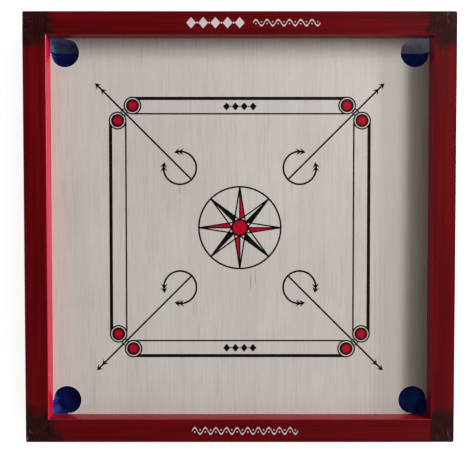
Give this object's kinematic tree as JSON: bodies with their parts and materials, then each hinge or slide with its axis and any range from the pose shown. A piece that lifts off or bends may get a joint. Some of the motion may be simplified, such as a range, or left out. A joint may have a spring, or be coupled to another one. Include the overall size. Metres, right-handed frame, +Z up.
{
  "type": "carrom board",
  "caption": "Square carrom board: raised dark red wooden rails round a printed pale playing surface, with a round pocket and a blue net bag at each corner.",
  "frame": {"origin": "middle of the footprint, on the table that the board lies on", "axes": "+X along the front rail to the right, +Y from the front rail to the back rail, +Z up out of the playing surface"},
  "size_m": [0.66, 0.66, 0.044],
  "materials": {
    "rail_wood": "gloss",
    "laminate": "satin",
    "plywood": "matte",
    "plain_wood": "matte",
    "net_cloth": "matte",
    "steel": "satin",
    "print_black": "satin",
    "print_red": "satin",
    "print_white": "satin"
  },
  "bodies": {
    "root": {"rail_front": "rail_wood", "rail_back": "rail_wood", "rail_left": "rail_wood", "rail_right": "rail_wood", "play_panel": "plywood", "play_laminate": "laminate", "bead_front_left": "plain_wood", "bead_front_right": "plain_wood", "bead_back_left": "plain_wood", "bead_back_right": "plain_wood", "bead_left_front": "plain_wood", "bead_left_back": "plain_wood", "bead_right_front": "plain_wood", "bead_right_back": "plain_wood", "bead_brads": "steel", "batten_x": "plain_wood", "batten_y": "plain_wood", "batten_screws": "steel", "corner_screws_front_left": "steel", "corner_screws_front_right": "steel", "corner_screws_back_left": "steel", "corner_screws_back_right": "steel", "pocket_net_front_left": "net_cloth", "pocket_net_front_right": "net_cloth", "pocket_net_back_left": "net_cloth", "pocket_net_back_right": "net_cloth", "net_staples_front_left": "steel", "net_staples_front_right": "steel", "net_staples_back_left": "steel", "net_staples_back_right": "steel"}
  },
  "joints": []
}
